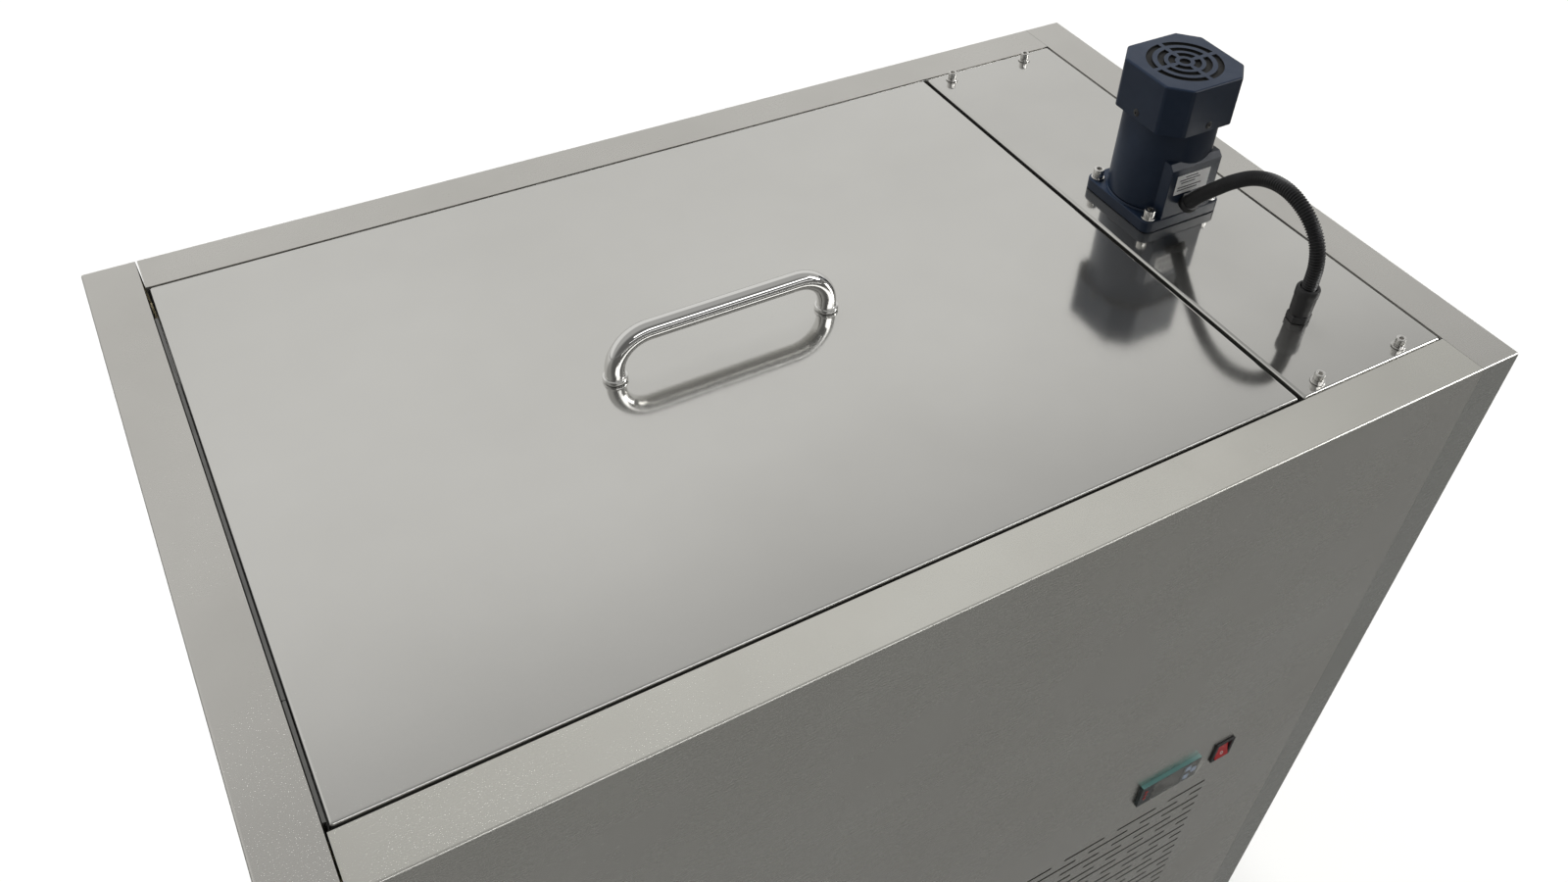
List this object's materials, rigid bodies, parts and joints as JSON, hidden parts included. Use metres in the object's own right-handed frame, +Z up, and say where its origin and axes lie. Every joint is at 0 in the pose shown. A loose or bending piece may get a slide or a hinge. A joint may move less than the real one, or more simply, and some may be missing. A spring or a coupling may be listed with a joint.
{
  "type": "bulk milk tank",
  "caption": "Rectangular stainless milk cooling tank on feet, with a hinged lid, a top-mounted stirrer motor, a thermostat and a vented cooling unit below.",
  "frame": {"origin": "on the floor, at the centre of the footprint that the cabinet, its outlet in front and its power gland behind take up together", "axes": "+X to the right seen from the front, +Y to the back, +Z up"},
  "size_m": [1, 0.73, 1.1894],
  "materials": {
    "stainless_sheet": "satin",
    "stainless_inner": "satin",
    "stainless_fittings": "satin",
    "stainless_screws": "satin",
    "polished_handle": "polished",
    "navy_paint": "matte",
    "cast_gear_case": "matte",
    "motor_steel": "satin",
    "black_plastic": "matte",
    "black_conduit": "matte",
    "gasket_rubber": "matte",
    "foam": "matte",
    "display_window": "gloss",
    "grey_keys": "satin",
    "red_rocker": "gloss",
    "black_enamel": "satin",
    "condenser_aluminium": "satin",
    "copper_tube": "satin"
  },
  "bodies": {
    "cabinet": {"left_side_panel": "stainless_sheet", "right_side_panel": "stainless_sheet", "front_panel": "stainless_sheet", "back_panel": "stainless_sheet", "strip_panel": "stainless_sheet", "base_tray": "stainless_inner", "milk_vat": "stainless_inner", "outlet_pipe": "stainless_inner", "foot_front_left": "stainless_fittings", "foot_front_right": "stainless_fittings", "foot_back_left": "stainless_fittings", "foot_back_right": "stainless_fittings", "hinge_cabinet_leaf": "stainless_fittings", "hinge_pin": "stainless_fittings", "valve_body": "stainless_fittings", "strip_screw_1": "stainless_screws", "strip_screw_2": "stainless_screws", "strip_screw_3": "stainless_screws", "strip_screw_4": "stainless_screws", "motor_bolt_1": "stainless_screws", "motor_bolt_2": "stainless_screws", "motor_bolt_3": "stainless_screws", "motor_bolt_4": "stainless_screws", "motor_flange": "navy_paint", "motor_housing": "navy_paint", "motor_fan_cover": "navy_paint", "motor_terminal_box": "navy_paint", "gearhead": "cast_gear_case", "conduit_gland": "black_plastic", "thermostat_case": "black_plastic", "switch_housing": "black_plastic", "power_gland": "black_plastic", "fan_shroud": "black_plastic", "motor_conduit": "black_conduit", "vat_insulation": "foam", "thermostat_window": "display_window", "compressor": "black_enamel", "condenser_fan_motor": "black_enamel", "condenser": "condenser_aluminium", "cooling_coil": "copper_tube", "filter_drier": "copper_tube", "discharge_pipe": "copper_tube", "liquid_pipe": "copper_tube"},
    "lid": {"lid_skin": "stainless_sheet", "lid_liner": "stainless_inner", "lid_insulation": "foam", "lid_gasket": "gasket_rubber", "lid_handle": "polished_handle", "hinge_lid_leaf": "stainless_fittings"},
    "stirrer": {"stirrer_shaft": "stainless_inner", "stirrer_paddle": "stainless_inner"},
    "rotor": {"motor_rotor": "motor_steel", "motor_fan": "black_plastic"},
    "cooling_fan": {"condenser_fan": "condenser_aluminium"},
    "rocker": {"switch_rocker": "red_rocker"},
    "key_1": {"thermostat_key_1": "grey_keys"},
    "key_2": {"thermostat_key_2": "grey_keys"},
    "key_3": {"thermostat_key_3": "grey_keys"},
    "outlet_lever": {"valve_lever": "stainless_fittings"}
  },
  "joints": [
    {"name": "lid_hinge", "type": "hinge", "parent": "cabinet", "child": "lid", "pos_m": [-0.457, 0.0165, 1.04855], "axis": [0, -1, 0], "range_deg": [0, 95]},
    {"name": "stirrer_spin", "type": "hinge", "parent": "cabinet", "child": "stirrer", "pos_m": [0.369, 0.0335, 0.85], "axis": [0, 0, 1], "continuous": true},
    {"name": "rotor_spin", "type": "hinge", "parent": "cabinet", "child": "rotor", "pos_m": [0.369, 0.0335, 1.1], "axis": [0, 0, 1], "continuous": true},
    {"name": "cooling_fan_spin", "type": "hinge", "parent": "cabinet", "child": "cooling_fan", "pos_m": [0.145, -0.13, 0.395], "axis": [0, 1, 0], "continuous": true},
    {"name": "rocker_tilt", "type": "hinge", "parent": "cabinet", "child": "rocker", "pos_m": [0.32975, -0.277, 0.5795], "axis": [1, 0, 0], "range_deg": [0, 20]},
    {"name": "key_1_press", "type": "slide", "parent": "cabinet", "child": "key_1", "axis": [0, 1, 0], "range_m": [0, 0.0012], "stiffness_N_per_m": 300},
    {"name": "key_2_press", "type": "slide", "parent": "cabinet", "child": "key_2", "axis": [0, 1, 0], "range_m": [0, 0.0012], "stiffness_N_per_m": 300},
    {"name": "key_3_press", "type": "slide", "parent": "cabinet", "child": "key_3", "axis": [0, 1, 0], "range_m": [0, 0.0012], "stiffness_N_per_m": 300},
    {"name": "outlet_valve", "type": "hinge", "parent": "cabinet", "child": "outlet_lever", "pos_m": [-0.35, -0.327, 0.55], "axis": [0, 0, -1], "range_deg": [0, 90]}
  ],
  "couplings": [
    {"joint": "rotor_spin", "follows": "stirrer_spin", "ratio": 30}
  ]
}
